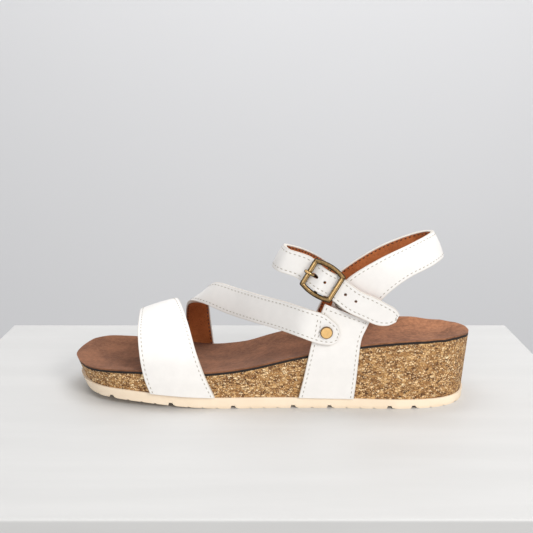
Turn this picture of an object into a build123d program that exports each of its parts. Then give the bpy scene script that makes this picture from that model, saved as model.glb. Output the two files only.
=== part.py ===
from build123d import *
import math
import os

# A left-foot wedge sandal, in millimetres. The toe points along -X, the outer (lateral) side faces -Y and
# +Z is up. The origin is on the ground, under the middle of the whole sandal.

# ---- driving dimensions ----
shift_x, shift_y = 1.73, -0.9         # moves the design tables below so that the origin is under the middle
sock_thickness = 0.9                 # brown sock lining
board_thickness = 1.5                # dark insole board
leather = 1.1                        # outer layer of a strap
lining = 1.0                         # inner layer of a strap
glue_gap = 0.03                      # between two layers of one strap
outsole_ledge = 1.0                  # how far the outsole stands out past the cork
toe_ledge = 1.0                      # and how much more at the toe
outline_low, outline_high = 0.0, 45.0

# Outline of the sole, lateral side from toe to heel and back along the medial side:
# x and y at the rim, height of the rim, x and y at ground level.
outline = [
    (-129.8, 8.0, 21.6, -120.8, 8.0),
    (-126.8, -4.0, 21.3, -118.8, -2.0),
    (-120.2, -16.5, 21.6, -114.0, -13.4),
    (-110.0, -26.6, 22.3, -105.8, -23.8),
    (-95.0, -33.4, 23.4, -92.4, -31.2),
    (-75.0, -37.5, 24.0, -74.0, -36.0),
    (-50.0, -39.4, 23.2, -50.0, -38.2),
    (-20.0, -38.8, 25.9, -20.0, -37.8),
    (15.0, -37.8, 33.6, 15.0, -36.8),
    (50.0, -38.4, 40.4, 49.0, -37.4),
    (80.0, -38.8, 43.7, 78.6, -38.4),
    (103.0, -34.2, 43.7, 101.4, -35.0),
    (119.0, -22.0, 43.1, 115.2, -25.4),
    (126.4, -6.0, 42.0, 121.6, -8.4),
    (122.2, 10.0, 40.9, 118.0, 9.0),
    (108.6, 20.8, 40.8, 105.4, 20.0),
    (88.0, 26.0, 41.2, 85.0, 25.0),
    (60.0, 26.8, 40.2, 58.0, 25.4),
    (30.0, 26.6, 36.2, 29.0, 25.2),
    (5.0, 28.4, 29.8, 5.0, 27.2),
    (-18.0, 34.2, 21.4, -18.0, 33.2),
    (-40.0, 40.2, 17.4, -39.0, 39.4),
    (-62.0, 43.2, 18.2, -60.0, 42.4),
    (-84.0, 42.8, 20.9, -81.0, 41.6),
    (-104.0, 40.2, 23.2, -99.6, 38.4),
    (-120.6, 34.0, 24.0, -113.2, 31.6),
    (-128.0, 22.0, 22.8, -118.8, 20.4),
]


# ---- curves and small vector helpers ----
def lerp(a, b, k):
    return a + (b - a) * k


def mix(p, q, k):
    return tuple(lerp(a, b, k) for a, b in zip(p, q))


def smooth_span(p0, p1, p2, p3, k):
    """A point between p1 and p2 on the smooth curve through all four."""
    def one(a, b, c, d):
        return 0.5 * (2 * b + (c - a) * k + (2 * a - 5 * b + 4 * c - d) * k * k
                      + (3 * b - a - 3 * c + d) * k * k * k)
    return tuple(one(a, b, c, d) for a, b, c, d in zip(p0, p1, p2, p3))


def smooth_open(points, steps):
    ends = [tuple(2 * a - b for a, b in zip(points[0], points[1]))]
    ends += list(points) + [tuple(2 * a - b for a, b in zip(points[-1], points[-2]))]
    made = []
    for i in range(len(points) - 1):
        made += [smooth_span(*ends[i:i + 4], j / steps) for j in range(steps)]
    return made + [points[-1]]


def smooth_closed(points, steps):
    n = len(points)
    return [
        smooth_span(points[i - 1], points[i], points[(i + 1) % n], points[(i + 2) % n], j / steps)
        for i in range(n) for j in range(steps)
    ]


def level(x, table):
    """Height at x from a table of (x, height), by a smooth curve."""
    if x <= table[0][0]:
        return table[0][1]
    for i in range(len(table) - 1):
        if x <= table[i + 1][0]:
            before, after = table[max(i - 1, 0)], table[min(i + 2, len(table) - 1)]
            k = (x - table[i][0]) / (table[i + 1][0] - table[i][0])
            return smooth_span(before, table[i], table[i + 1], after, k)[1]
    return table[-1][1]


shifted = [(x + shift_x, y + shift_y, z, u + shift_x, v + shift_y) for x, y, z, u, v in outline]
rim_path = smooth_closed(shifted, 4)


def outline_at(height):
    """Points of the sole's outline at a height, on straight lines from ground level through the rim."""
    return [(lerp(u, x, height / z), lerp(v, y, height / z)) for x, y, z, u, v in rim_path]


def wall_y(x, side):
    """y of the rim at x; side is -1 for lateral and 1 for medial."""
    found = []
    for i, here in enumerate(rim_path):
        after = rim_path[(i + 1) % len(rim_path)]
        if (here[0] - x) * (after[0] - x) <= 0 and here[0] != after[0]:
            found.append(lerp(here[1], after[1], (x - here[0]) / (after[0] - here[0])))
    return min(found) if side < 0 else max(found)


# ---- sole ----
lateral_rim = sorted((x, z) for x, y, z, _, _ in shifted if y < shift_y + 9)
medial_rim = sorted([(x, z) for x, y, z, _, _ in shifted if y > shift_y + 6])
interface_height, interface_slope = 6.9, -0.014
spring_start, spring_rise, spring_length = -30.0, 3.6, 65.0


def toe_spring(x):
    """How far the bottom of the sole rises towards the toe."""
    k = max(0.0, min(1.0, (spring_start - x) / spring_length))
    return spring_rise * k * k * (3 - 2 * k)


def interface(x):
    """Height of the joint between the cork and the outsole."""
    return interface_height + interface_slope * max(x, 0.0) + 0.95 * toe_spring(x)


cup_table = [(-130, 2.4), (-90, 3.0), (-55, 1.8), (-20, 3.0), (30, 4.6), (75, 6.4), (130, 6.4)]
toe_centre, heel_centre = (-88.0, 5.0), (92.0, -5.0)


def reach(centre, x, y):
    """Distance to a point from a centre, as a fraction of the distance to the rim that way."""
    angle = math.atan2(y - centre[1], x - centre[0])
    best = min(rim_path, key=lambda p: abs(math.remainder(
        math.atan2(p[1] - centre[1], p[0] - centre[0]) - angle, 2 * math.pi)))
    return math.hypot(x - centre[0], y - centre[1]) / math.hypot(best[0] - centre[0], best[1] - centre[1])


def footbed(x, y):
    """Height of the foot surface: the two rims joined across, less the hollow of the footbed."""
    x_in = max(-115.0, min(115.0, x))
    low, high = wall_y(x_in, -1), wall_y(x_in, 1)
    across = max(-0.1, min(1.1, (y - low) / (high - low)))
    if x < toe_centre[0]:
        out = reach(toe_centre, x, y)
    elif x > heel_centre[0]:
        out = reach(heel_centre, x, y)
    else:
        out = abs(2 * across - 1)
    hollow = max(0.0, 1 - out ** 2.4)
    return lerp(level(x, lateral_rim), level(x, medial_rim), across) - level(x, cup_table) * hollow


def footbed_face():
    xs = [-150 + 6 * i for i in range(51)]
    ys = [-54 + 6 * j for j in range(19)]
    rows = [[Vector(x, y, footbed(x, y)) for y in ys] for x in xs]
    return Face.make_surface_from_array_of_points(rows, tol=0.05, min_deg=3, max_deg=3)


wall_faces = 12


def widened(path, ledge):
    """An outline moved outward by the ledge, and by more at the toe."""
    made = []
    for i, (x, y) in enumerate(path):
        (x0, y0), (x1, y1) = path[i - 1], path[(i + 1) % len(path)]
        length = math.hypot(x1 - x0, y1 - y0)
        out = ledge + (toe_ledge * max(0.0, min(1.0, (-x - 95.0) / 25.0)) if ledge else 0.0)
        made.append((x + out * (y1 - y0) / length, y + out * (x0 - x1) / length))
    return made


def planar_outline(height, ledge):
    """The outline at a height, in as many pieces as the wall has faces."""
    path = widened(outline_at(height), ledge)
    whole = Spline([(x, y, height) for x, y in path[::2]], periodic=True)
    return Wire([whole.trim(i / wall_faces, (i + 1) / wall_faces) for i in range(wall_faces)])


def sole_block(ledge=0.0):
    """The whole sole as one block with leaning walls, much taller than the sole."""
    low = planar_outline(outline_low - 1.0, ledge)
    return Solid.make_loft([low, planar_outline(outline_high, ledge)], ruled=True)


def side_prism(points):
    """A prism across the whole width from a closed outline in the XZ plane."""
    face = Face(Wire.make_polygon([(x, -60, z) for x, z in points], close=True))
    return Solid.extrude(face, Vector(0, 120, 0))


notches = [-101.0, -63.0, -24.5, 12.5, 35.0, 72.0, 87.0]
notch_width, notch_depth = 3.4, 1.8
tooth_pitch, tooth_depth = 9.0, 0.6


def tread_profile():
    """Bottom of the outsole from toe to heel: low saw teeth with a notch here and there."""
    made = []
    x = -135.0
    for notch in [n + shift_x for n in notches] + [135.0]:
        teeth = max(1, round((notch - notch_width / 2 - x) / tooth_pitch))
        pitch = (notch - notch_width / 2 - x) / teeth
        for i in range(teeth):
            start = x + i * pitch
            made.append((start + 0.01, tooth_depth))
            made.append((start + pitch * 0.22, 0.0))
            made.append((start + pitch, 0.0))
        made.append((notch - notch_width * 0.3, notch_depth))
        made.append((notch + notch_width * 0.3, notch_depth))
        x = notch + notch_width / 2
    return [(x, z + toe_spring(x)) for x, z in made]


def sole_parts():
    block = sole_block()
    top = footbed_face()
    sock = block & Solid.extrude(top, Vector(0, 0, -sock_thickness))
    board_top = top.moved(Location((0, 0, -sock_thickness)))
    board = block & Solid.extrude(board_top, Vector(0, 0, -board_thickness))
    cork_top = top.moved(Location((0, 0, -sock_thickness - board_thickness)))
    body = block & Solid.extrude(cork_top, Vector(0, 0, -80))
    joint = [(x, interface(x)) for x in range(-150, 151, 5)]
    cork = body & side_prism(joint + [(150, 90), (-150, 90)])
    outsole = sole_block(outsole_ledge) & side_prism(joint + list(reversed(tread_profile())))
    return {"sock_lining": sock, "insole_board": board, "cork_wedge": cork, "outsole": outsole}


# ---- straps ----
# Each station is a point on one edge of a strap's outer face, the point opposite on the other edge,
# and how far the middle of the strap stands out between them.
toe_stations = [
    ((-75.5, -39.9, 9.8), (-35.7, -41.0, 7.3), 1.3),
    ((-79.0, -40.1, 20.5), (-41.7, -41.9, 21.6), 1.3),
    ((-81.6, -37.4, 33.4), (-47.0, -38.9, 36.5), 1.0),
    ((-84.2, -24.5, 45.2), (-53.0, -23.0, 50.4), 0.8),
    ((-86.3, 0.0, 51.4), (-60.8, 3.0, 58.4), 0.6),
    ((-88.5, 23.0, 46.5), (-66.4, 26.0, 52.2), 0.6),
    ((-90.6, 38.5, 33.6), (-69.0, 41.6, 36.0), 0.4),
    ((-91.0, 44.8, 22.0), (-68.6, 45.9, 20.5), 0.5),
    ((-89.5, 44.2, 10.8), (-66.4, 45.4, 9.2), 0.6),
]
cross_stations = [
    ((38.6, -42.4, 43.6), (40.4, -42.0, 49.2), 0.0),
    ((35.0, -42.5, 41.9), (38.8, -41.7, 53.8), 0.1),
    ((30.2, -42.5, 42.2), (35.2, -41.5, 57.2), 0.2),
    ((24.6, -42.4, 43.6), (30.4, -41.4, 60.8), 0.2),
    ((15.6, -41.2, 46.7), (19.8, -40.4, 64.0), 0.3),
    ((2.0, -29.8, 48.4), (7.4, -30.2, 65.7), 0.4),
    ((-13.0, -16.6, 49.2), (-7.6, -17.0, 66.5), 0.4),
    ((-29.4, -1.4, 50.4), (-23.2, -1.6, 67.4), 0.4),
    ((-47.0, 12.6, 54.0), (-37.6, 11.6, 68.3), 0.4),
    ((-57.4, 27.0, 51.2), (-43.4, 26.0, 58.6), 0.4),
    ((-60.0, 40.5, 36.0), (-43.2, 37.0, 41.5), 0.4),
    ((-58.0, 45.4, 19.0), (-41.0, 42.6, 17.6), 0.3),
    ((-56.4, 44.9, 8.4), (-39.4, 41.9, 7.4), 0.3),
]
lateral_stations = [
    ((15.8, -39.4, 6.9), (49.7, -39.9, 6.4), 0.0),
    ((18.6, -40.2, 19.0), (51.0, -40.5, 19.0), 0.0),
    ((20.8, -40.8, 30.0), (52.0, -41.2, 32.0), 0.1),
    ((23.7, -39.9, 43.0), (53.5, -40.1, 43.9), 0.2),
    ((28.4, -38.9, 58.8), (56.5, -38.9, 51.0), 0.4),
    ((31.3, -38.6, 66.4), (58.6, -38.4, 55.2), 0.4),
]
medial_stations = [
    ((35.6, 20.4, 61.0), (59.6, 23.0, 56.6), 0.4),
    ((32.6, 23.4, 52.4), (58.4, 24.0, 54.0), 0.4),
    ((30.4, 26.8, 46.0), (57.0, 27.4, 49.0), 0.2),
    ((28.4, 29.2, 36.0), (55.4, 29.5, 41.0), 0.0),
    ((27.0, 28.8, 20.0), (54.6, 28.7, 20.0), 0.0),
    ((26.0, 28.0, 6.8), (54.0, 28.0, 6.4), 0.0),
]
heel_stations = [
    ((35.0, -34.4, 61.6), (57.2, -34.6, 52.4), 0.2),
    ((38.0, -34.4, 70.4), (61.4, -34.6, 61.6), 0.3),
    ((45.6, -34.4, 81.4), (69.4, -34.6, 71.6), 0.5),
    ((64.4, -32.4, 93.0), (82.4, -32.0, 81.0), 0.6),
    ((84.0, -25.0, 101.0), (98.0, -24.6, 87.2), 0.8),
    ((100.4, -9.6, 106.2), (107.6, -9.6, 90.2), 0.8),
    ((91.0, 4.0, 103.0), (101.2, 6.0, 88.4), 0.8),
    ((68.0, 9.8, 92.4), (84.6, 12.6, 80.4), 0.6),
    ((45.4, 12.4, 76.6), (68.4, 15.0, 70.2), 0.5),
    ((38.4, 14.6, 66.6), (62.6, 17.6, 63.2), 0.4),
    ((35.2, 17.0, 58.4), (59.4, 20.0, 54.0), 0.4),
]

# The buckle's own frame: its middle, its long direction (down and back along the strap) and how far its
# plane is turned outward.
buckle_centre = (29.4, -40.9, 81.5)
buckle_slope, buckle_turn = 30.5, 12.0
strap_half = 7.2
bar_reach, bar_radius, bar_half = 9.4, 1.5, 8.05      # end bars of the buckle
rail_bow, rail_dip = 1.7, 0.5                          # how far the side rails stand out and sink
pin_drop, pin_radius = 2.3, 1.0                        # the middle bar
chape_leather = 0.9


def buckle_axes():
    slope, turn = math.radians(buckle_slope), math.radians(buckle_turn)
    along = (math.cos(turn) * math.cos(slope), -math.sin(turn), -math.cos(turn) * math.sin(slope))
    up = (math.sin(slope), 0.0, math.cos(slope))
    out = (
        along[1] * up[2] - along[2] * up[1],
        along[2] * up[0] - along[0] * up[2],
        along[0] * up[1] - along[1] * up[0],
    )
    return along, up, out


def buckle_point(a, b, h):
    """A point of the buckle's frame: a along the strap, b across it and h outward."""
    along, up, out = buckle_axes()
    return tuple(c + a * i + b * j + h * k for c, i, j, k in zip(buckle_centre, along, up, out))


# Outer face of the strap through the buckle: under the front bar, over the middle one, under the last.
# Each is a distance along the buckle, a height in it and how much wider than the rest the strap is there.
threaded = [
    (-16.0, -3.4, 0.4),
    (-10.2, -2.4, 0.4),
    (-5.6, -0.2, 0.0),
    (0.0, 1.95, 0.0),
    (5.2, -0.2, 0.0),
    (9.6, -2.4, 0.0),
]


def threaded_station(a, h, wider):
    half = strap_half + wider
    return (buckle_point(a, half, h), buckle_point(a, -half, h), 0.0)


ankle_stations = [
    ((54.6, 19.8, 70.6), (48.6, 21.8, 60.6), 0.3),
    ((43.3, 16.8, 75.6), (36.6, 19.0, 64.4), 0.4),
    ((31.0, 7.6, 86.2), (24.2, 8.8, 73.4), 0.6),
    ((19.4, -3.2, 93.8), (12.2, -3.0, 80.6), 0.8),
    ((8.6, -14.0, 98.8), (1.4, -14.0, 85.2), 0.8),
    ((6.8, -22.0, 99.6), (-0.4, -22.0, 86.2), 0.7),
    ((9.8, -30.4, 98.5), (3.2, -30.2, 85.0), 0.4),
] + [threaded_station(*spot) for spot in threaded] + [
    ((51.6, -42.4, 75.4), (44.2, -42.4, 62.8), 0.0),
    ((60.6, -42.2, 71.2), (53.6, -42.2, 58.2), 0.0),
    ((68.4, -41.8, 67.0), (62.0, -41.8, 54.4), 0.0),
    ((73.6, -41.4, 63.8), (68.8, -41.4, 53.8), 0.0),
    ((76.0, -41.2, 60.6), (73.8, -41.2, 55.8), 0.0),
]


def subtract(p, q):
    return tuple(a - b for a, b in zip(p, q))


def cross(p, q):
    return (p[1] * q[2] - p[2] * q[1], p[2] * q[0] - p[0] * q[2], p[0] * q[1] - p[1] * q[0])


def unit(p):
    size = math.sqrt(sum(a * a for a in p))
    return tuple(a / size for a in p)


def offset(p, direction, distance):
    return tuple(a + distance * b for a, b in zip(p, direction))


def band_sections(stations, steps):
    """Along a strap: both edges of its outer face, its middle and the way inward."""
    path = smooth_open([front + rear + (bulge,) for front, rear, bulge in stations], steps)
    made = []
    for i, here in enumerate(path):
        back, ahead = path[max(i - 1, 0)], path[min(i + 1, len(path) - 1)]
        front, rear = here[:3], here[3:6]
        middle = mix(front, rear, 0.5)
        travel = subtract(mix(ahead[:3], ahead[3:6], 0.5), mix(back[:3], back[3:6], 0.5))
        inward = unit(cross(travel, subtract(rear, front)))
        made.append((front, offset(middle, inward, -here[6]), rear, inward))
    return made


def band(stations, start, end, steps=4):
    """One layer of a strap, between two depths below its outer face."""
    wires = []
    for front, middle, rear, inward in band_sections(stations, steps):
        outer = [offset(p, inward, start) for p in (front, middle, rear)]
        inner = [offset(p, inward, end) for p in (rear, middle, front)]
        moved = [(x + shift_x, y + shift_y, z) for x, y, z in outer + inner]
        wires.append(Wire.make_polygon([Vector(*p) for p in moved], close=True))
    return Solid.make_loft(wires, ruled=True)


def strap_layers(name, stations):
    inner_start = leather + glue_gap
    return {
        f"{name}_upper": band(stations, 0.0, leather),
        f"{name}_lining": band(stations, inner_start, inner_start + lining),
    }


def moved_point(p):
    return Vector(p[0] + shift_x, p[1] + shift_y, p[2])


# ---- rivet ----
rivet_x, rivet_z = 32.1, 49.9
rivet_outer, rivet_inner = -42.5, -36.9       # strap faces that the rivet holds together
cap_radius, cap_height, cap_bevel = 3.8, 1.7, 0.5
base_radius, base_height = 3.4, 0.8
post_radius, hole_clearance = 1.3, 0.06


def rod(start, end, radius):
    """A round rod between two points of the design tables."""
    a, b = moved_point(start), moved_point(end)
    return Solid.make_cylinder(radius, (b - a).length, Plane(origin=a, z_dir=b - a))


def rivet_rod(near, far, radius):
    return rod((rivet_x, near, rivet_z), (rivet_x, far, rivet_z), radius)


def rivet_parts():
    cap = rivet_rod(rivet_outer, rivet_outer - cap_height, cap_radius)
    face_edges = cap.edges().sort_by(Axis.Y)[:1]
    cap = cap.chamfer(cap_bevel, None, face_edges)
    post = rivet_rod(rivet_outer - 0.5, rivet_inner + base_height, post_radius)
    base = rivet_rod(rivet_inner, rivet_inner + base_height, base_radius)
    base -= rivet_rod(rivet_inner - 1, rivet_inner + 2, post_radius + hole_clearance)
    return {"rivet_cap": cap + post, "rivet_base": base}


# ---- buckle ----
rail_radius = 1.45
pin_half = 9.7
collar_radius, collar_half, pin_play = 1.9, 1.1, 0.08
prong_radius = 1.0
prong_path = [(-1.2, -3.1), (-3.6, -3.5), (-5.3, -1.6), (-6.4, 1.2), (-8.2, 2.6), (-11.3, 2.6)]
prong_bends = [1.1, 1.1, 1.1, 1.1]
slot_front, slot_back, slot_half = -7.6, -3.3, 1.2
hole_radius = 0.9
tail_holes = [(37.0, 77.0), (43.2, 73.0), (49.4, 69.1)]
window_hole = 1.8                     # where along the buckle the second hole lies


def buckle_rod(a1, b1, h1, a2, b2, h2, radius):
    return rod(buckle_point(a1, b1, h1), buckle_point(a2, b2, h2), radius)


def buckle_frame():
    frame = None
    for side in (-1, 1):
        bar = buckle_rod(side * bar_reach, -bar_half, 0, side * bar_reach, bar_half, 0, bar_radius)
        for end in (-1, 1):
            corner = moved_point(buckle_point(side * bar_reach, end * bar_half, 0))
            bar += Solid.make_sphere(bar_radius, angle1=-90).moved(Location(corner))
        frame = bar if frame is None else frame + bar
    for side in (-1, 1):
        ends = [moved_point(buckle_point(a, side * bar_half, 0)) for a in (-bar_reach, bar_reach)]
        middle = moved_point(buckle_point(0, side * (bar_half + rail_bow), -rail_dip))
        arc = Edge.make_three_point_arc(ends[0], middle, ends[1])
        start = Plane(origin=arc @ 0, z_dir=arc % 0)
        frame += sweep(start * Circle(rail_radius), path=arc)
    frame += buckle_rod(0, -pin_half, -pin_drop, 0, pin_half, -pin_drop, pin_radius)
    return frame


def buckle_prong():
    centre = (0, -pin_drop)
    collar = buckle_rod(0, -collar_half, -pin_drop, 0, collar_half, -pin_drop, collar_radius)
    points = [moved_point(buckle_point(a, 0, h)) for a, h in prong_path]
    path = FilletPolyline(*points, radius=prong_bends)
    start = Plane(origin=path @ 0, z_dir=path % 0)
    finger = sweep(start * Circle(prong_radius), path=path)
    tip = Solid.make_sphere(prong_radius, angle1=-90).moved(Location(points[-1]))
    hole = buckle_rod(0, -3, centre[1], 0, 3, centre[1], pin_radius + pin_play)
    return collar + finger + tip - hole


chape_half, chape_slot = 6.4, 1.5
chape_tail = [(1.0, -2.9), (4.6, -4.4), (8.0, -5.6)]
chape_ply = 0.85                        # half the thickness of the doubled tail


def buckle_prism(outline_points, half):
    """An outline in the buckle's a and h, as thick as twice half across the strap."""
    points = [moved_point(buckle_point(a, -half, h)) for a, h in outline_points]
    up = buckle_axes()[1]
    face = Face(Wire.make_polygon(points, close=True))
    return Solid.extrude(face, Vector(*up) * (2 * half))


def buckle_tab():
    loop = buckle_rod(0, -chape_half, -pin_drop, 0, chape_half, -pin_drop,
                      pin_radius + pin_play + chape_leather)
    top = [(a, h + chape_ply) for a, h in chape_tail]
    bottom = [(a, h - chape_ply) for a, h in reversed(chape_tail)]
    tab = loop + buckle_prism(top + bottom, chape_half)
    tab -= buckle_rod(0, -9, -pin_drop, 0, 9, -pin_drop, pin_radius + pin_play)
    slot = buckle_prism([(-3.5, 1.0), (2.6, 1.0), (2.6, -7.0), (-3.5, -7.0)], chape_slot)
    return tab - slot


gore_thickness = 1.1
gore_stations = [
    (buckle_point(8.8, 6.6, -5.4), buckle_point(8.8, -6.8, -5.4), 0.0),
    ((43.8, -36.1, 74.4), (36.8, -36.2, 64.4), 0.2),
    ((48.6, -36.1, 70.6), (42.0, -36.2, 60.6), 0.2),
    ((53.4, -36.1, 66.6), (47.2, -36.2, 56.8), 0.2),
]


def strap_holes():
    made = [rod((x, -50, z), (x, -36, z), hole_radius) for x, z in tail_holes]
    made.append(buckle_rod(window_hole, 0, 4, window_hole, 0, -0.8, hole_radius))
    slot = [(slot_front, -5.5), (slot_front, 4), (slot_back, 4), (slot_back, -5.5)]
    made.append(buckle_prism(slot, slot_half))
    return made


def write(name, shape):
    solids = shape.solids()
    export_step(Compound(solids) if len(solids) > 1 else solids[0], f"parts/{name}.step")


os.makedirs("parts", exist_ok=True)
made = sole_parts()
for name, stations in (
    ("toe_strap", toe_stations),
    ("cross_strap", cross_stations),
    ("lateral_quarter", lateral_stations),
    ("medial_quarter", medial_stations),
    ("heel_strap", heel_stations),
    ("ankle_strap", ankle_stations),
):
    made.update(strap_layers(name, stations))
rivet_hole = rivet_rod(-50, -30, post_radius + hole_clearance)
for node in ("cross_strap_upper", "cross_strap_lining", "lateral_quarter_upper", "lateral_quarter_lining"):
    made[node] -= rivet_hole
for hole in strap_holes():
    made["ankle_strap_upper"] -= hole
    made["ankle_strap_lining"] -= hole
made.update(rivet_parts())
made["buckle_frame"] = buckle_frame()
made["buckle_prong"] = buckle_prong()
made["buckle_tab"] = buckle_tab()
made["elastic_gore"] = band(gore_stations, 0.0, gore_thickness)
for name, shape in made.items():
    write(name, shape)
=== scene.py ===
import math
import bmesh
import bpy
from mathutils import Matrix, Vector


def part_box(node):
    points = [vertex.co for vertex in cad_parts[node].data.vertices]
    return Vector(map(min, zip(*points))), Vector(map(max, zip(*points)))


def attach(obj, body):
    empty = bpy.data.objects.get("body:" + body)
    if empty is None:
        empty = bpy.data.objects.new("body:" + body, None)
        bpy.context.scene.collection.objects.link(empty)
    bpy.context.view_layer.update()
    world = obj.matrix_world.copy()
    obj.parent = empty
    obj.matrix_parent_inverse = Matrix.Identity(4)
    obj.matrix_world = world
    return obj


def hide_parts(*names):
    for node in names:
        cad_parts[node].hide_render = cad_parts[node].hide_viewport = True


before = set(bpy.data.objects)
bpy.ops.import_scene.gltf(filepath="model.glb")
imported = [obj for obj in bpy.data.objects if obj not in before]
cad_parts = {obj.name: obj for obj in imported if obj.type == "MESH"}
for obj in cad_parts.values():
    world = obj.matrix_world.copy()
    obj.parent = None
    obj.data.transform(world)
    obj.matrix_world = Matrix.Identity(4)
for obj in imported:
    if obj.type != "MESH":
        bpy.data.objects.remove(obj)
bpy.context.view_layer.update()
mm = 0.001
tableShift = Vector((1.73, -0.9, 0.0))  # from the strap tables below to the shared frame, in mm


# stage: camera in mm and degrees, table and wall in mm, lamps in metres and watts
stage = {
    "pitch": 12.15, "back": 534.5, "height": 196.2, "side": -2.2, "lens": 57.4,
    "tableX": (-212, 196), "tableY": (-177, 146), "tableThick": 14, "tableEdge": 1.2, "wallBack": 900,
    "tableColour": (0.62, 0.615, 0.605), "wallColour": (0.70, 0.70, 0.71),
    "airColour": (0.97, 0.98, 1.0, 1), "airStrength": 0.48,
}
lamps = {  # place, target, size, power, colour
    "keyLamp": ((0.85, -1.15, 0.85), (0.0, 0.0, 0.04), (0.55, 0.55), 14.0, (1.0, 0.985, 0.96)),
    "fillLamp": ((-0.45, -1.35, 0.45), (0.0, 0.0, 0.04), (0.9, 0.7), 5.0, (1.0, 0.99, 0.98)),
    "topLamp": ((0.25, 0.2, 1.3), (0.0, 0.0, 0.0), (1.0, 0.8), 6.0, (1, 1, 1)),
    "wallLamp": ((0.0, 0.2, 1.3), (0.0, 0.9, 0.35), (1.6, 0.5), 6.8, (1, 1, 1)),
}


def addLamp(name, place, target, size, power, colour):
    lamp = bpy.data.lights.new(name, "AREA")
    lamp.shape = "RECTANGLE"
    lamp.size, lamp.size_y = size
    lamp.energy = power
    lamp.color = colour
    made = newObject(name, lamp)
    made.location = place
    made.rotation_euler = (Vector(target) - Vector(place)).to_track_quat("-Z", "Y").to_euler()


def newObject(name, data):
    made = bpy.data.objects.new(name, data)
    bpy.context.scene.collection.objects.link(made)
    return made


def meshFrom(bm, name, smooth=True):
    mesh = bpy.data.meshes.new(name)
    bm.to_mesh(mesh)
    bm.free()
    mesh.polygons.foreach_set("use_smooth", [smooth] * len(mesh.polygons))
    return mesh


def buildStage():
    scene = bpy.context.scene
    lens = bpy.data.cameras.new("camera")
    lens.lens = stage["lens"]
    lens.sensor_width = 36.0
    lens.clip_start, lens.clip_end = 0.01, 20
    camera = newObject("camera", lens)
    camera.location = Vector((stage["side"], -stage["back"], stage["height"])) * mm
    camera.rotation_euler = (math.radians(90 - stage["pitch"]), 0, 0)
    scene.camera = camera

    (lowX, highX), (lowY, highY) = stage["tableX"], stage["tableY"]
    bm = bmesh.new()
    size = Vector((highX - lowX, highY - lowY, stage["tableThick"]))
    centre = Vector(((lowX + highX) / 2, (lowY + highY) / 2, -stage["tableThick"] / 2))
    place = Matrix.Translation(centre * mm) @ Matrix.Diagonal((*(size * mm), 1))
    bmesh.ops.create_cube(bm, size=1, matrix=place)
    bmesh.ops.bevel(bm, geom=bm.edges[:], offset=stage["tableEdge"] * mm, segments=3, profile=0.5,
                    affect="EDGES", material=-1)
    table = newObject("tableTop", meshFrom(bm, "tableTop", False))
    table.data.materials.append(tableLook())

    bm = bmesh.new()
    bmesh.ops.create_grid(bm, x_segments=1, y_segments=1, size=3)
    bmesh.ops.transform(bm, verts=bm.verts, matrix=Matrix.Translation((0, stage["wallBack"] * mm, 0))
                        @ Matrix.Rotation(math.radians(90), 4, "X"))
    wall = newObject("wall", meshFrom(bm, "wall"))
    wall.data.materials.append(wallLook())

    for name, settings in lamps.items():
        addLamp(name, *settings)
    world = bpy.data.worlds.new("studio")
    scene.world = world
    world.use_nodes = True
    air = world.node_tree.nodes["Background"].inputs
    air["Color"].default_value = stage["airColour"]
    air["Strength"].default_value = stage["airStrength"]
    scene.view_settings.view_transform = "Standard"
    print("stage: camera, table and wall")


# a shader socket that takes arithmetic and can feed new nodes
class Wire:
    def __init__(self, tree, link):
        self.tree = tree
        self.link = link

    def node(self, kind, settings=None, values=None, output=0):
        made = self.tree.nodes.new("ShaderNode" + kind)
        for key, value in (settings or {}).items():
            if key == "stops":
                fillRamp(made.color_ramp, value)
            else:
                setattr(made, key, value)
        for key, value in (values or {}).items():
            if isinstance(value, Wire):
                self.tree.links.new(value.link, made.inputs[key])
            else:
                made.inputs[key].default_value = value
        return Wire(self.tree, made.outputs[output] if made.outputs else None)

    def sum(self, operation, a, b=0.0):
        return self.node("Math", {"operation": operation}, {0: a, 1: b})

    def __add__(self, other):
        return self.sum("ADD", self, other)

    def __sub__(self, other):
        return self.sum("SUBTRACT", self, other)

    def __rsub__(self, other):
        return self.sum("SUBTRACT", other, self)

    def __mul__(self, other):
        return self.sum("MULTIPLY", self, other)

    def absolute(self):
        return self.sum("ABSOLUTE", self)

    def ramp(self, low, high, lowValue=0.0, highValue=1.0):
        values = {"Value": self, "From Min": low, "From Max": high, "To Min": lowValue, "To Max": highValue}
        return self.node("MapRange", {"interpolation_type": "SMOOTHSTEP"}, values)

    def tint(self, first, second):
        return self.node("Mix", {"data_type": "RGBA", "clamp_factor": True}, {0: self, 6: first, 7: second}, 2)

    def noise(self, scale, detail=3.0, rough=0.55, stretch=(1, 1, 1)):
        place = self.node("Mapping", None, {"Vector": self, "Scale": stretch})
        settings = {"Vector": place, "Scale": scale, "Detail": detail, "Roughness": rough}
        return self.node("TexNoise", None, settings)


def fillRamp(ramp, stops):
    while len(ramp.elements) > 1:
        ramp.elements.remove(ramp.elements[0])
    ramp.elements[0].position, ramp.elements[0].color = stops[0]
    for position, colour in stops[1:]:
        ramp.elements.new(position).color = colour


def rgb(r, g, b):
    return (r, g, b, 1.0)


def startLook(name, fixed):
    # a cleared material with its shader; fixed holds the sockets that stay constant
    material = bpy.data.materials.new(name)
    material.use_nodes = True
    tree = material.node_tree
    tree.nodes.clear()
    root = Wire(tree, None)
    shader = root.node("BsdfPrincipled", None, fixed)
    root.node("OutputMaterial", None, {"Surface": shader})
    return material, root, shader.link.node


def finishLook(root, shader, colour, rough, height=None, strength=0.3, reach=0.4):
    for name, value in (("Base Color", colour), ("Roughness", rough)):
        if isinstance(value, Wire):
            root.tree.links.new(value.link, shader.inputs[name])
        else:
            shader.inputs[name].default_value = value
    if height is not None:
        bump = root.node("Bump", None, {"Height": height, "Strength": strength, "Distance": reach * mm})
        root.tree.links.new(bump.link, shader.inputs["Normal"])


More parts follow.
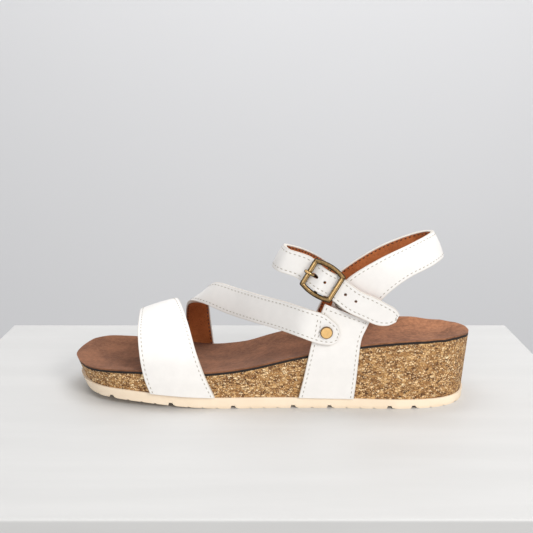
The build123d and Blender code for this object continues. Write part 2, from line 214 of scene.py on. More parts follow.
def places(root):
    # the piece's own coordinates, in mm
    metres = root.node("TexCoord", None, None, 3)
    return metres.node("VectorMath", {"operation": "SCALE"}, {0: metres, "Scale": 1000.0})


def fromEdge(root):
    # how far in from the strap's nearer edge, in mm
    return root.node("SeparateXYZ", None, {0: root.node("TexCoord", None, None, 2)}, 1)


def wallLook():
    material, root, shader = startLook("wallPaint", {})
    colour = stage["wallColour"]
    cloud = places(root).noise(0.004, 2.0)
    finishLook(root, shader, cloud.tint(rgb(*[c * 0.985 for c in colour]), rgb(*colour)), 0.9)
    return material


def tableLook():
    material, root, shader = startLook("paintedBoard", {})
    where = places(root)
    grain = where.noise(0.05, 6.0, 0.6, (0.12, 1.0, 1.0))
    speck = where.noise(0.9, 2.0)
    colour = stage["tableColour"]
    shade = grain.ramp(0.35, 0.7).tint(rgb(*[c * 0.955 for c in colour]), rgb(*colour))
    finishLook(root, shader, shade, grain.ramp(0.3, 0.7, 0.5, 0.62), grain * 0.8 + speck * 0.2, 0.25, 0.5)
    return material


# finishes, each after the values it is made from
upperLook = {"colour": (0.86, 0.835, 0.805), "edge": (0.70, 0.655, 0.59), "rough": 0.46, "stitchIn": 2.0}


def leatherLook():
    # smooth coated leather: faint grain, a stitch groove along the edges and a slightly soiled rim
    material, root, shader = startLook("coatedLeather", {"Specular IOR Level": 0.42})
    where = places(root)
    inFromEdge = fromEdge(root)
    pebble = where.node("TexVoronoi", {"feature": "DISTANCE_TO_EDGE"}, {"Vector": where, "Scale": 1.5})
    soft = where.noise(0.16, 3.0)
    fine = where.noise(2.6, 2.0)
    groove = (inFromEdge - upperLook["stitchIn"]).absolute().ramp(0.15, 0.75)
    rim = inFromEdge.ramp(0.05, 0.7)
    colour = rim.tint(rgb(*upperLook["edge"]), soft.ramp(0.3, 0.75).tint(
        rgb(*[c * 0.965 for c in upperLook["colour"]]), rgb(*upperLook["colour"])))
    height = pebble.ramp(0.0, 0.16) * 0.14 + soft * 0.5 + fine * 0.12 + groove * 0.55
    finishLook(root, shader, colour, fine.ramp(0.3, 0.7, upperLook["rough"] - 0.05, upperLook["rough"] + 0.07),
               height, 0.32, 0.35)
    return material


liningLook = {"colour": (0.64, 0.215, 0.07), "dark": (0.36, 0.105, 0.03), "rough": 0.62}


def innerLook():
    # lining: fine pigskin-like grain with pores and a brushed colour
    material, root, shader = startLook("grainedLining", {"Specular IOR Level": 0.3})
    where = places(root)
    cells = where.node("TexVoronoi", {"feature": "DISTANCE_TO_EDGE"}, {"Vector": where, "Scale": 1.25})
    pores = where.node("TexVoronoi", None, {"Vector": where, "Scale": 0.62})
    cloud = where.noise(0.11, 5.0, 0.62)
    crease = cells.ramp(0.0, 0.2)
    tone = cloud.ramp(0.25, 0.75) * 0.65 + crease * 0.35
    colour = tone.tint(rgb(*liningLook["dark"]), rgb(*liningLook["colour"]))
    colour = pores.ramp(0.10, 0.2).tint(rgb(0.16, 0.05, 0.02), colour)
    finishLook(root, shader, colour, crease.ramp(0.0, 1.0, liningLook["rough"] + 0.1, liningLook["rough"]),
               crease * 0.6 + cloud * 0.4, 0.4, 0.3)
    return material


corkLook = {"cell": 0.85, "fine": 1.75, "rough": 0.72}


def granulateLook():
    # pressed cork: granules of several browns, cream flakes, dark bark specks and fine pits
    material, root, shader = startLook("pressedCork", {"Specular IOR Level": 0.32})
    where = places(root)
    drift = where.node("TexNoise", None, {"Vector": where, "Scale": 0.7}, 1)
    drift = drift.node("VectorMath", {"operation": "SCALE"}, {0: drift, "Scale": 1.3})
    bent = where.node("VectorMath", {"operation": "ADD"}, {0: where, 1: drift})
    lean = bent.node("Mapping", None, {"Vector": bent, "Rotation": (0.3, 0.75, 0.2), "Scale": (0.5, 1.0, 1.05)})
    big = lean.node("TexVoronoi", None, {"Vector": lean, "Scale": corkLook["cell"]}, 1)
    pick = big.node("SeparateColor", None, {0: big})
    small = lean.node("TexVoronoi", None, {"Vector": bent, "Scale": corkLook["fine"]}, 1)
    pickSmall = small.node("SeparateColor", None, {0: small})
    edge = lean.node("TexVoronoi", {"feature": "DISTANCE_TO_EDGE"}, {"Vector": lean, "Scale": corkLook["cell"]})
    tones = [(0.0, rgb(0.055, 0.020, 0.007)), (0.18, rgb(0.12, 0.048, 0.016)), (0.40, rgb(0.25, 0.115, 0.038)),
             (0.60, rgb(0.38, 0.19, 0.065)), (0.78, rgb(0.54, 0.30, 0.11)), (0.90, rgb(0.78, 0.52, 0.25)),
             (1.0, rgb(0.98, 0.80, 0.52))]
    first = pick.node("ValToRGB", {"stops": tones}, {0: pick})
    second = pickSmall.node("ValToRGB", {"stops": tones}, {0: pickSmall})
    colour = pickSmall.ramp(0.55, 0.62).tint(first, second)
    colour = edge.ramp(0.0, 0.1).tint(rgb(0.20, 0.095, 0.035), colour)
    pits = where.noise(2.4, 3.0, 0.6)
    colour = pits.ramp(0.30, 0.37).tint(rgb(0.07, 0.028, 0.010), colour)
    height = edge.ramp(0.0, 0.22) * 0.6 + pick * 0.25 + pits.ramp(0.28, 0.5) * 0.4
    finishLook(root, shader, colour, pick.ramp(0.0, 1.0, 0.62, corkLook["rough"] + 0.1), height, 0.45, 0.4)
    return material


sockLook = {"colour": (0.29, 0.122, 0.06), "dark": (0.12, 0.046, 0.022), "worn": (0.45, 0.20, 0.10),
            "rough": 0.88}


def suedeLook():
    # napped sock: clouded brown, lighter where the heel rubs, with a short fibre texture
    material, root, shader = startLook("nappedSock", {"Specular IOR Level": 0.15, "Sheen Weight": 0.06,
                                                      "Sheen Roughness": 0.6})
    where = places(root)
    cloud = where.noise(0.045, 6.0, 0.62)
    mottle = where.noise(0.42, 4.0, 0.65)
    fibre = where.noise(3.2, 2.0, 0.7)
    east = where.node("SeparateXYZ", None, {0: where}).ramp(10.0, 100.0)
    tone = cloud.ramp(0.36, 0.64) * 0.45 + mottle.ramp(0.36, 0.64) * 0.35 + fibre.ramp(0.35, 0.65) * 0.2
    middle = east.tint(rgb(*sockLook["colour"]), rgb(*sockLook["worn"]))
    colour = tone.tint(rgb(*sockLook["dark"]), middle)
    finishLook(root, shader, colour, sockLook["rough"], fibre * 0.5 + mottle * 0.5, 0.6, 0.5)
    return material


# shade: the colour of the painted shade along the outsole's bottom
rubberLook = {"colour": (0.92, 0.775, 0.60), "shade": (0.82, 0.66, 0.48), "rough": 0.5}


def soleLook():
    # moulded rubber: cream, with painted shade darkening it low down towards the floor over a random cloud of
    # tone, and a fine mould texture
    material, root, shader = startLook("mouldedRubber", {"Specular IOR Level": 0.4})
    where = places(root)
    cloud = where.noise(0.06, 4.0)
    fine = where.noise(3.0, 2.0)
    height = where.node("SeparateXYZ", None, {0: where}, 2)
    # painted shade: the lowest 2.4 mm of the rubber fade to the shade colour, mixed with a random cloud of tone
    paintedLowShadeAndCloud = height.ramp(0.3, 2.4) * 0.6 + cloud.ramp(0.3, 0.7) * 0.4
    colour = paintedLowShadeAndCloud.tint(rgb(*rubberLook["shade"]), rgb(*rubberLook["colour"]))
    finishLook(root, shader, colour, cloud.ramp(0.3, 0.7, rubberLook["rough"], rubberLook["rough"] + 0.14),
               fine * 0.6 + cloud * 0.4, 0.25, 0.25)
    return material


def boardLook():
    material, root, shader = startLook("darkBoard", {"Specular IOR Level": 0.25})
    where = places(root)
    fibre = where.noise(2.0, 3.0, 0.6, (0.4, 1.0, 1.0))
    colour = fibre.tint(rgb(0.010, 0.008, 0.007), rgb(0.035, 0.026, 0.021))
    finishLook(root, shader, colour, 0.75, fibre, 0.3, 0.2)
    return material


# dark: the colour reached in the painted side shade, on the curved rails and in the patina patches
brassLook = {"bright": (0.66, 0.43, 0.19), "dark": (0.035, 0.022, 0.011), "rough": 0.26}


def antiqueLook():
    # plated buckle: bright brass, darkened by painted shade at the bars' sides where they turn from the camera,
    # darker on the curved rails, with mottled brown patina patches
    material, root, shader = startLook("antiqueBrass", {"Metallic": 1.0})
    where = places(root)
    centre, slope = Vector(buckle["centre"]) + tableShift, math.radians(buckle["slope"])
    fromCentre = where.node("VectorMath", {"operation": "SUBTRACT"}, {0: where, 1: centre})
    upward = fromCentre.node("VectorMath", {"operation": "DOT_PRODUCT"},
                             {0: fromCentre, 1: (math.sin(slope), 0, math.cos(slope))}, 1)
    # the curved rails are darker
    rail = upward.absolute().ramp(6.4, 8.2, 0.0, 0.55)
    # painted shade: the bars darken where their surface turns away from the camera
    side = root.node("LayerWeight", None, {"Blend": 0.5}, 1).ramp(0.12, 0.5, 0.0, 0.95)
    patch = where.noise(0.8, 4.0, 0.6)
    fine = where.noise(4.0, 2.0)
    tone = 1.0 - rail - side - patch.ramp(0.3, 0.7, 0.24, 0.0)
    colour = tone.tint(rgb(*brassLook["dark"]), rgb(*brassLook["bright"]))
    finishLook(root, shader, colour, tone.ramp(0.0, 1.0, brassLook["rough"] + 0.2, brassLook["rough"]),
               fine * 0.5 + patch * 0.5, 0.15, 0.2)
    return material


# rim: the painted shadow colour of the rivet's rim
rivetLook = {"colour": (0.95, 0.60, 0.24), "rim": (0.16, 0.085, 0.03), "rough": 0.34}


def goldLook():
    # the rivet's face is bright and its turned rim painted dark as the shadow round its edge
    material, root, shader = startLook("satinGold", {"Metallic": 0.55})
    where = places(root)
    patch = where.noise(0.7, 3.0)
    fine = where.noise(5.0, 2.0)
    low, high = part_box("rivet_cap")
    middle = (low + high) / 2 / mm
    flat = where.node("VectorMath", {"operation": "MULTIPLY"}, {0: where, 1: (1, 0, 1)})
    radius = flat.node("VectorMath", {"operation": "DISTANCE"}, {0: flat, 1: (middle.x, 0, middle.z)}, 1)
    # painted shadow: from 3.05 mm out from the axis the rim fades to the dark rim colour
    side = radius.ramp(3.05, 3.45)
    face = patch.ramp(0.3, 0.6).tint(rgb(*[c * 0.86 for c in rivetLook["colour"]]), rgb(*rivetLook["colour"]))
    finishLook(root, shader, side.tint(face, rgb(*rivetLook["rim"])),
               fine.ramp(0.3, 0.7, rivetLook["rough"], rivetLook["rough"] + 0.12), fine, 0.15, 0.15)
    return material


def threadLook(name, colour):
    # twisted thread
    material, root, shader = startLook(name, {"Specular IOR Level": 0.3, "Sheen Weight": 0.2})
    where = places(root)
    ply = where.noise(5.0, 1.0, 0.5, (1.0, 0.5, 2.0))
    finishLook(root, shader, ply.tint(rgb(*[c * 0.72 for c in colour]), rgb(*colour)), 0.7, ply, 0.5, 0.15)
    return material


def elasticLook():
    # gathered elastic: long uneven folds along the strap over a fine weave; the fold troughs are painted dark
    # as their shade
    material, root, shader = startLook("gatheredElastic", {"Specular IOR Level": 0.25})
    spread = root.node("TexCoord", None, None, 2)
    folds = spread.noise(1.0, 2.0, 0.5, (0.16, 0.75, 1.0))
    weave = places(root).noise(3.0, 2.0)
    # painted shade: the whitish elastic turns near black in the fold troughs
    tone = folds.ramp(0.36, 0.58) * 0.85 + weave * 0.15
    finishLook(root, shader, tone.tint(rgb(0.13, 0.085, 0.05), rgb(0.90, 0.86, 0.79)), 0.75, tone, 0.9, 0.8)
    return material


# straps: the tables of the design, in mm, but set a little lower under the buckle's front bar
# each station: a point on one edge of the outer face, the point opposite, how far the middle stands out

straps = {
    "toe": {"bodyNode": "toe_strap", "rows": 10, "stations": [
        ((-75.5, -39.9, 9.8), (-35.7, -41.0, 7.3), 1.3),
        ((-79.0, -40.1, 20.5), (-41.7, -41.9, 21.6), 1.3),
        ((-81.6, -37.4, 33.4), (-47.0, -38.9, 36.5), 1.0),
        ((-84.2, -24.5, 45.2), (-53.0, -23.0, 50.4), 0.8),
        ((-86.3, 0.0, 51.4), (-60.8, 3.0, 58.4), 0.6),
        ((-88.5, 23.0, 46.5), (-66.4, 26.0, 52.2), 0.6),
        ((-90.6, 38.5, 33.6), (-69.0, 41.6, 36.0), 0.4),
        ((-91.0, 44.8, 22.0), (-68.6, 45.9, 20.5), 0.5),
        ((-89.5, 44.2, 10.8), (-66.4, 45.4, 9.2), 0.6),
    ]},
    "cross": {"bodyNode": "cross_strap", "rows": 8, "liningEnds": (1.0, 0.0), "stations": [
        ((38.6, -42.4, 43.6), (40.4, -42.0, 49.2), 0.0),
        ((35.0, -42.5, 41.9), (38.8, -41.7, 53.8), 0.1),
        ((30.2, -42.5, 42.2), (35.2, -41.5, 57.2), 0.2),
        ((24.6, -42.4, 43.6), (30.4, -41.4, 60.8), 0.2),
        ((15.6, -41.2, 46.7), (19.8, -40.4, 64.0), 0.3),
        ((2.0, -29.8, 48.4), (7.4, -30.2, 65.7), 0.4),
        ((-13.0, -16.6, 49.2), (-7.6, -17.0, 66.5), 0.4),
        ((-29.4, -1.4, 50.4), (-23.2, -1.6, 67.4), 0.4),
        ((-47.0, 12.6, 54.0), (-37.6, 11.6, 68.3), 0.4),
        ((-57.4, 27.0, 51.2), (-43.4, 26.0, 58.6), 0.4),
        ((-60.0, 40.5, 36.0), (-43.2, 37.0, 41.5), 0.4),
        ((-58.0, 45.4, 19.0), (-41.0, 42.6, 17.6), 0.3),
        ((-56.4, 44.9, 8.4), (-39.4, 41.9, 7.4), 0.3),
    ]},
    "lateral": {"bodyNode": "lateral_quarter", "rows": 10, "stations": [
        ((15.8, -39.4, 6.9), (49.7, -39.9, 6.4), 0.0),
        ((18.6, -40.2, 19.0), (51.0, -40.5, 19.0), 0.0),
        ((20.8, -40.8, 30.0), (52.0, -41.2, 32.0), 0.1),
        ((23.7, -39.9, 43.0), (53.5, -40.1, 43.9), 0.2),
        ((28.4, -38.9, 58.8), (56.5, -38.9, 51.0), 0.4),
        ((31.3, -38.6, 66.4), (58.6, -38.4, 55.2), 0.4),
    ]},
    "medial": {"bodyNode": "medial_quarter", "rows": 10, "stations": [
        ((35.6, 20.4, 61.0), (59.6, 23.0, 56.6), 0.4),
        ((32.6, 23.4, 52.4), (58.4, 24.0, 54.0), 0.4),
        ((30.4, 26.8, 46.0), (57.0, 27.4, 49.0), 0.2),
        ((28.4, 29.2, 36.0), (55.4, 29.5, 41.0), 0.0),
        ((27.0, 28.8, 20.0), (54.6, 28.7, 20.0), 0.0),
        ((26.0, 28.0, 6.8), (54.0, 28.0, 6.4), 0.0),
    ]},
    "heel": {"bodyNode": "heel_strap", "rows": 10, "stations": [
        ((35.0, -34.4, 61.6), (57.2, -34.6, 52.4), 0.2),
        ((38.0, -34.4, 70.4), (61.4, -34.6, 61.6), 0.3),
        ((45.6, -34.4, 81.4), (69.4, -34.6, 71.6), 0.5),
        ((64.4, -32.4, 93.0), (82.4, -32.0, 81.0), 0.6),
        ((84.0, -25.0, 101.0), (98.0, -24.6, 87.2), 0.8),
        ((100.4, -9.6, 106.2), (107.6, -9.6, 90.2), 0.8),
        ((91.0, 4.0, 103.0), (101.2, 6.0, 88.4), 0.8),
        ((68.0, 9.8, 92.4), (84.6, 12.6, 80.4), 0.6),
        ((45.4, 12.4, 76.6), (68.4, 15.0, 70.2), 0.5),
        ((38.4, 14.6, 66.6), (62.6, 17.6, 63.2), 0.4),
        ((35.2, 17.0, 58.4), (59.4, 20.0, 54.0), 0.4),
    ]},
}

buckle = {
    "centre": (29.4, -40.9, 81.5), "slope": 30.5, "turn": 12.0, "strapHalf": 7.2,
    "threaded": [(-16.0, -3.4, 0.4), (-10.2, -3.0, 0.4), (-5.6, -0.2, 0), (0.0, 1.95, 0), (5.2, -0.2, 0),
                 (9.6, -2.4, 0)],
    "holes": [(37.0, 77.0), (43.2, 73.0), (49.4, 69.1)], "holeRadius": 0.9,
}


def bucklePoint(a, b, h):
    slope, turn = math.radians(buckle["slope"]), math.radians(buckle["turn"])
    along = Vector((math.cos(turn) * math.cos(slope), -math.sin(turn), -math.cos(turn) * math.sin(slope)))
    up = Vector((math.sin(slope), 0, math.cos(slope)))
    return Vector(buckle["centre"]) + a * along + b * up + h * along.cross(up)


def threadedStation(a, h, wider):
    half = buckle["strapHalf"] + wider
    return (tuple(bucklePoint(a, half, h)), tuple(bucklePoint(a, -half, h)), 0.0)


straps["ankle"] = {"bodyNode": "ankle_strap", "rows": 8, "liningEnds": (0.0, 1.2), "stations": [
    ((54.6, 19.8, 70.6), (48.6, 21.8, 60.6), 0.3),
    ((43.3, 16.8, 75.6), (36.6, 19.0, 64.4), 0.4),
    ((31.0, 7.6, 86.2), (24.2, 8.8, 73.4), 0.6),
    ((19.4, -3.2, 93.8), (12.2, -3.0, 80.6), 0.8),
    ((8.6, -14.0, 98.8), (1.4, -14.0, 85.2), 0.8),
    ((6.8, -22.0, 99.6), (-0.4, -22.0, 86.2), 0.7),
    ((9.8, -30.4, 98.5), (3.2, -30.2, 85.0), 0.4),
] + [threadedStation(*spot) for spot in buckle["threaded"]] + [
    ((51.6, -42.4, 75.4), (44.2, -42.4, 62.8), 0.0),
    ((60.6, -42.2, 71.2), (53.6, -42.2, 58.2), 0.0),
    ((68.4, -41.8, 67.0), (62.0, -41.8, 54.4), 0.0),
    ((73.6, -41.4, 63.8), (68.8, -41.4, 53.8), 0.0),
    ((76.0, -41.2, 60.6), (73.8, -41.2, 55.8), 0.0),
]}

# thicknesses and turned edge of the leather in mm, and how many faces lie across a strap
leather = {"upper": 1.1, "lining": 1.0, "gap": 0.03, "across": 14, "edgeRound": 0.3,
           "lipWide": 0.55, "lipStep": 0.2, "lipDeep": 0.9}


def spanPoint(before, start, end, after, k):
    made = []
    for a, b, c, d in zip(before, start, end, after):
        made.append(0.5 * (2 * b + (c - a) * k + (2 * a - 5 * b + 4 * c - d) * k * k
                           + (3 * b - a - 3 * c + d) * k * k * k))
    return made


def ribbonRows(stations, steps):
    # rows along a strap: both edges of the outer face, the bulge, the way inward and the distance along
    flat = [list(front) + list(rear) + [bulge] for front, rear, bulge in stations]
    flat.insert(0, [2 * a - b for a, b in zip(flat[0], flat[1])])
    flat.append([2 * a - b for a, b in zip(flat[-1], flat[-2])])
    points = []
    for i in range(1, len(flat) - 2):
        points += [spanPoint(*flat[i - 1:i + 3], j / steps) for j in range(steps)]
    points.append(flat[-2])
    rows, travelled = [], 0.0
    for i, point in enumerate(points):
        front, rear = Vector(point[:3]), Vector(point[3:6])
        back, ahead = points[max(i - 1, 0)], points[min(i + 1, len(points) - 1)]
        travel = (Vector(ahead[:3]) + Vector(ahead[3:6]) - Vector(back[:3]) - Vector(back[3:6])) / 2
        if i:
            travelled += ((front + rear) / 2 - (rows[-1][0] + rows[-1][1]) / 2).length
        rows.append((front, rear, point[6], travel.cross(rear - front).normalized(), travelled))
    return rows


def ribbonPoint(rows, along, across, depth):
    # a point of a strap: along in rows, across from 0 to 1, depth below the outer face, in mm
    i = min(int(along), len(rows) - 2)
    k = along - i
    a, b = rows[i], rows[i + 1]
    front, rear = a[0].lerp(b[0], k), a[1].lerp(b[1], k)
    inward = a[3].lerp(b[3], k).normalized()
    bulge = mix(a[2], b[2], k) * 4 * across * (1 - across)
    return front.lerp(rear, across) + inward * (depth - bulge)


def mix(a, b, k):
    return a + (b - a) * k


def columnAt(column, columns, width, turned):
    # how far across a strap a column of its grid lies, from 0 to 1
    lip = min(leather["lipWide"], width * 0.1)
    inset = min(lip + leather["lipStep"], width * 0.14)
    if not turned:
        return (inset + (width - 2 * inset) * column / columns) / width
    near = min(column, columns - column)
    if near == 0:
        share = 0.0
    elif near == 1:
        share = lip / width
    else:
        share = (inset + (width - 2 * inset) * (near - 2) / (columns - 4)) / width
    return share if column == near else 1 - share


def ribbonPiece(name, rows, depth, thick, across, turned=False, ends=(0.0, 0.0)):
    # a flat grid is thickened, then laid along the strap; a turned piece folds inward along both edges,
    # and the other layer lies between its folds, and stops short of the strap's ends by the given rows
    bm = bmesh.new()
    last = len(rows) - 1
    bmesh.ops.create_grid(bm, x_segments=last, y_segments=across, size=0.5)
    raised = bmesh.ops.extrude_face_region(bm, geom=bm.faces[:])["geom"]
    bmesh.ops.translate(bm, verts=[v for v in raised if isinstance(v, bmesh.types.BMVert)], vec=(0, 0, 1))
    layer = bm.loops.layers.uv.new("strap")
    spots = {}
    for vert in bm.verts:
        along = ends[0] + (vert.co.x + 0.5) * (last - ends[0] - ends[1])
        column = round((vert.co.y + 0.5) * across)
        i = min(int(along), last - 1)
        width = mix((rows[i][1] - rows[i][0]).length, (rows[i + 1][1] - rows[i + 1][0]).length, along - i)
        side = columnAt(column, across, width, turned)
        under = depth + thick * vert.co.z
        if turned and vert.co.z > 0.5 and min(column, across - column) < 2:
            under += leather["lipDeep"]
        spots[vert.index] = (mix(rows[i][4], rows[i + 1][4], along - i), min(side, 1 - side) * width)
        vert.co = (ribbonPoint(rows, along, side, under) + tableShift) * mm
    for face in bm.faces:
        for loop in face.loops:
            loop[layer].uv = spots[loop.vert.index]
    bmesh.ops.recalc_face_normals(bm, faces=bm.faces)
    piece = newObject(name, meshFrom(bm, name))
    piece.data.set_sharp_from_angle(angle=math.radians(50))
    return piece


def roundEdges(piece, width):
    bevel = piece.modifiers.new("roundEdges", "BEVEL")
    bevel.width = width * mm
    bevel.segments = 2
    bevel.limit_method = "ANGLE"
    bevel.angle_limit = math.radians(50)


def settle(piece):
    # leaves the piece as a plain mesh with its modifiers applied
    bpy.context.view_layer.update()
    graph = bpy.context.evaluated_depsgraph_get()
    mesh = bpy.data.meshes.new_from_object(piece.evaluated_get(graph))
    piece.modifiers.clear()
    piece.data = mesh


def dress(piece, look, body, slot, *nodes):
    piece.data.materials.clear()
    piece.data.materials.append(look)
    if nodes:
        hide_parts(*nodes)
    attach(piece, body)


# stitching: pitch, length and thickness in mm, and how far in from an edge it runs
stitches = {"pitch": 3.0, "long": 1.7, "radius": 0.28, "inside": 2.0, "liningInside": 1.5,
            # thread: cream thread darkened with painted shade for the stitches' shadows and needle holes
            # underThread: painted near black as the stitches' shadow on the lining
            "thread": (0.50, 0.46, 0.39), "underThread": (0.045, 0.022, 0.014), "underRadius": 0.42}


def addStitch(bm, middle, heading, outward, radius):
    # one short bar of thread lying on the leather
    side = outward.cross(heading).normalized()
    turn = Matrix((heading, side, outward)).transposed().to_4x4()
    size = Matrix.Diagonal((stitches["long"] / 2 * mm, radius * mm, radius * mm, 1))
    place = Matrix.Translation((middle + tableShift) * mm)
    bmesh.ops.create_uvsphere(bm, u_segments=8, v_segments=5, radius=1,
                              matrix=place @ turn @ size @ Matrix.Rotation(math.radians(90), 4, "Y"))


def stitchRow(bm, spots, radius):
    # thread bars at an even pitch along a list of (point, outward)
    walked, due = 0.0, stitches["pitch"] / 2
    for (a, outA), (b, outB) in zip(spots, spots[1:]):
        length = (b - a).length
        while length > 0 and walked + length >= due:
            k = (due - walked) / length
            addStitch(bm, a.lerp(b, k), (b - a).normalized(), outA.lerp(outB, k).normalized(), radius)
            due += stitches["pitch"]
        walked += length


def edgeSpots(rows, side, depth, inside, flip=1):
    # spots that run along one edge of a strap, a set distance in from it
    made = []
    for i, row in enumerate(rows):
        share = min(0.5, inside / (row[1] - row[0]).length)
        made.append((ribbonPoint(rows, i, share if side == 0 else 1 - share, depth), -row[3] * flip))
    return made


def acrossSpots(rows, along, start, end):
    return [(ribbonPoint(rows, along, mix(start, end, j / 12), 0.0), -rows[int(along)][3]) for j in range(13)]


def slantSpots(rows, lowX, highX):
    # a slanted line across the riveted end, following the edge of the quarter beneath
    made = []
    for j in range(13):
        across = mix(0.16, 0.84, j / 12)
        wanted = mix(lowX, highX, across)
        best = min((i / 4 for i in range(4 * (len(rows) - 1))),
                   key=lambda i: abs(ribbonPoint(rows, i, across, 0).x - wanted))
        made.append((ribbonPoint(rows, best, across, 0.0), -rows[int(best)][3]))
    return made


def outerSeams(name, rows):
    # both edges of every strap, and the cross seams that some of them have
    last = len(rows) - 1
    seams = [edgeSpots(rows, side, 0.0, stitches["inside"]) for side in (0, 1)]
    if name == "lateral":
        seams.append(acrossSpots(rows, last - 4.0, 0.12, 0.95))
    if name == "cross":
        seams += [slantSpots(rows, 24.6, 27.4), slantSpots(rows, 26.6, 29.4), acrossSpots(rows, 2.4, 0.3, 0.7)]
    if name == "ankle":
        seams.append(acrossSpots(rows, last - 2.4, 0.3, 0.7))
    return seams


def sewn(name, seams, radius, look, slotName):
    bm = bmesh.new()
    for spots in seams:
        stitchRow(bm, spots, radius)
    dress(newObject(name, meshFrom(bm, name)), look, "sandal", slotName)


def holeCutters():
    # the adjusting holes, the one the prong sits in, and the slot where the strap end folds round the buckle
    made = [(Vector((x, -50, z)), Vector((x, -38, z)), buckle["holeRadius"], 1.0) for x, z in buckle["holes"]]
    made.append((bucklePoint(1.8, 0, 4), bucklePoint(1.8, 0, -0.8), buckle["holeRadius"], 1.0))
    made.append((bucklePoint(-5.3, 0, 4), bucklePoint(-5.3, 0, -5.5), 1.25, 1.9))
    return made


def punch(piece, cutters):
    # cuts holes through a strap, each stretched along the strap where its last value is over 1
    bm = bmesh.new()
    slope = math.radians(buckle["slope"])
    for start, end, radius, stretch in cutters:
        reach = end - start
        side = Vector((math.cos(slope), 0, -math.sin(slope)))
        out = reach.normalized()
        side = (side - side.dot(out) * out).normalized()
        turn = Matrix((side, out.cross(side), out)).transposed().to_4x4()
        place = Matrix.Translation(((start + end) / 2 + tableShift) * mm) @ turn
        bmesh.ops.create_cone(bm, cap_ends=True, segments=20, radius1=radius * mm, radius2=radius * mm,
                              depth=reach.length * mm, matrix=place @ Matrix.Diagonal((stretch, 1, 1, 1)))
    bmesh.ops.recalc_face_normals(bm, faces=bm.faces)
    tool = newObject("punchTool", meshFrom(bm, "punchTool", False))
    cut = piece.modifiers.new("punch", "BOOLEAN")
    cut.operation = "DIFFERENCE"
    cut.solver = "EXACT"
    cut.object = tool
    settle(piece)
    bpy.data.objects.remove(tool)


def buildStraps(looks):
    for name, strap in straps.items():
        node = strap["bodyNode"]
        rows = ribbonRows(strap["stations"], strap["rows"])
        under = leather["upper"] + leather["gap"]
        upper = ribbonPiece(name + "StrapUpper", rows, 0.0, leather["upper"], leather["across"], True)
        lining = ribbonPiece(name + "StrapLining", rows, under, leather["lining"], leather["across"],
                             ends=strap.get("liningEnds", (0.0, 0.0)))
        for piece in (upper, lining):
            if name == "ankle":
                punch(piece, holeCutters())
            roundEdges(piece, leather["edgeRound"])
        dress(upper, looks["leather"], "sandal", "upper", node + "_upper")
        dress(lining, looks["lining"], "sandal", "lining", node + "_lining")
        sewn(name + "StrapStitches", outerSeams(name, rows), stitches["radius"], looks["thread"], "upper")
        depth = under + leather["lining"]
        inner = [edgeSpots(rows, side, depth, stitches["liningInside"], -1) for side in (0, 1)]
        # the inside stitches are painted near black as their shadow on the lining
        sewn(name + "StrapInsideStitches", inner, stitches["underRadius"], looks["underThread"], "lining")
    print("straps: uppers, linings and stitching")


# gathered elastic between the quarter and the buckle
gore = {"thick": 1.1, "stations": [
    (tuple(bucklePoint(8.8, 6.6, -5.4)), tuple(bucklePoint(8.8, -6.8, -5.4)), 0.0),
    ((43.8, -36.1, 74.4), (36.8, -36.2, 64.4), 0.2),
    ((48.6, -36.1, 70.6), (42.0, -36.2, 60.6), 0.2),
    ((53.4, -36.1, 66.6), (47.2, -36.2, 56.8), 0.2),
], "ruffles": 11, "ruffleHeight": 0.34}


def buildGore(look):
    rows = ribbonRows(gore["stations"], 14)
    piece = ribbonPiece("elasticGore", rows, 0.0, gore["thick"], 16)
    travelled = {}
    for loop, spot in zip(piece.data.loops, piece.data.uv_layers["strap"].data):
        travelled[loop.vertex_index] = spot.uv[0]
    for vert in piece.data.vertices:
        phase = travelled[vert.index] / rows[-1][4] * gore["ruffles"] * math.tau
        vert.co.y += gore["ruffleHeight"] * mm * math.sin(phase)
    roundEdges(piece, 0.2)
    dress(piece, look, "sandal", "elastic", "elastic_gore")
    print("elastic gore")


# sole layers: each solid with its piece name and its finish
soleParts = {"cork_wedge": ("corkWedge", "cork"), "insole_board": ("insoleBoard", "board"),
             "sock_lining": ("sockLining", "sock"), "outsole": ("rubberOutsole", "outsole_rubber")}
treadAngle, rimAngle = 14, 32  # degrees: corners sharper than this stay crisp


def smoothCopy(node, name, angle):
    # a merged copy of a solid, shaded smooth except at its real edges
    bm = bmesh.new()
    bm.from_mesh(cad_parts[node].data)
    bmesh.ops.remove_doubles(bm, verts=bm.verts, dist=0.002 * mm)
    bmesh.ops.dissolve_degenerate(bm, dist=0.002 * mm, edges=bm.edges)
    piece = newObject(name, meshFrom(bm, name))
    piece.data.set_sharp_from_angle(angle=math.radians(angle))
    return piece


def buildSole(looks):
    for node, (name, slotName) in soleParts.items():
        piece = smoothCopy(node, name, treadAngle if node == "outsole" else rimAngle)
        dress(piece, looks[slotName], "sandal", slotName, node)
    print("sole: outsole, cork, board and sock")


rivet = {  # half profiles of (radius, height) in mm, and how far behind its front face the cap ends
    "segments": 48, "capDeep": 1.7,
    "cap": [(0.0, 1.62), (1.5, 1.6), (2.5, 1.5), (2.95, 1.4), (3.1, 1.42), (3.4, 1.42), (3.65, 1.25),
            (3.8, 0.9), (3.8, 0.12), (3.7, 0.0), (0.0, 0.0)],
    "base": [(0.0, 0.72), (2.2, 0.78), (3.0, 0.7), (3.35, 0.45), (3.4, 0.2), (3.4, 0.0), (0.0, 0.0)],
}


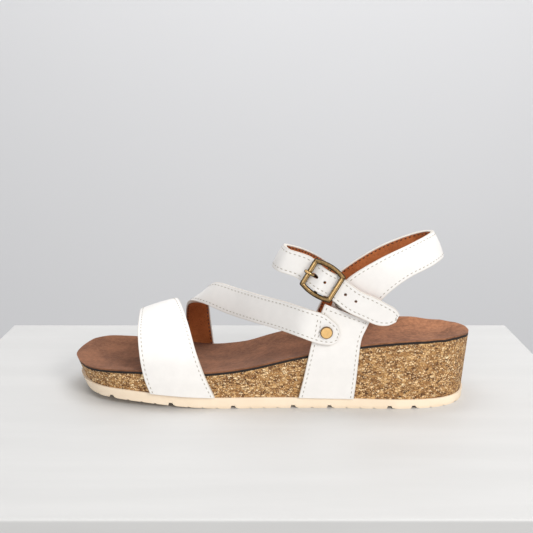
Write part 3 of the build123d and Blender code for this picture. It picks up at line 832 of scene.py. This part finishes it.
def turnedPiece(name, profile, centre, outward):
    # a round piece on a Y axis from its half profile of (radius, height), in mm
    bm = bmesh.new()
    points = [bm.verts.new((r * mm, outward * h * mm, 0)) for r, h in profile]
    lines = [bm.edges.new(pair) for pair in zip(points, points[1:])]
    bmesh.ops.spin(bm, geom=points + lines, cent=(0, 0, 0), axis=(0, 1, 0), angle=math.tau,
                   steps=rivet["segments"], use_merge=True)
    bmesh.ops.remove_doubles(bm, verts=bm.verts, dist=0.0005 * mm)
    bmesh.ops.translate(bm, verts=bm.verts, vec=centre)
    bmesh.ops.recalc_face_normals(bm, faces=bm.faces)
    piece = newObject(name, meshFrom(bm, name))
    piece.data.set_sharp_from_angle(angle=math.radians(60))
    return piece


def buildHardware(looks):
    bar = smoothCopy("buckle_frame", "buckleFrame", 40)
    dress(bar, looks["brass"], "buckle", "buckle_metal", "buckle_frame")
    prong = smoothCopy("buckle_prong", "buckleProng", 40)
    dress(prong, looks["brass"], "prong", "buckle_metal", "buckle_prong")
    tab = smoothCopy("buckle_tab", "buckleTab", 40)
    dress(tab, looks["leather"], "sandal", "upper", "buckle_tab")
    low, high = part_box("rivet_cap")
    centre = Vector(((low[0] + high[0]) / 2, low[1] + rivet["capDeep"] * mm, (low[2] + high[2]) / 2))
    cap = turnedPiece("rivetCap", rivet["cap"], centre, -1)
    dress(cap, looks["rivet"], "sandal", "rivet_metal", "rivet_cap")
    centre.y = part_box("rivet_base")[0][1]
    base = turnedPiece("rivetBase", rivet["base"], centre, 1)
    dress(base, looks["rivet"], "sandal", "rivet_metal", "rivet_base")
    print("hardware: buckle, prong, tab and rivet")


buildStage()
looks = {
    "leather": leatherLook(), "lining": innerLook(), "cork": granulateLook(), "board": boardLook(),
    "sock": suedeLook(), "outsole_rubber": soleLook(), "brass": antiqueLook(), "rivet": goldLook(),
    # the pale thread colour carries painted shade for the stitches' shadows and needle holes
    "thread": threadLook("paleThread", stitches["thread"]),
    # the inside thread's near-black colour is painted stitch shadow
    "underThread": threadLook("shadowPaintedThread", stitches["underThread"]),
    "elastic": elasticLook(),
}
buildSole(looks)
buildStraps(looks)
buildGore(looks["elastic"])
buildHardware(looks)
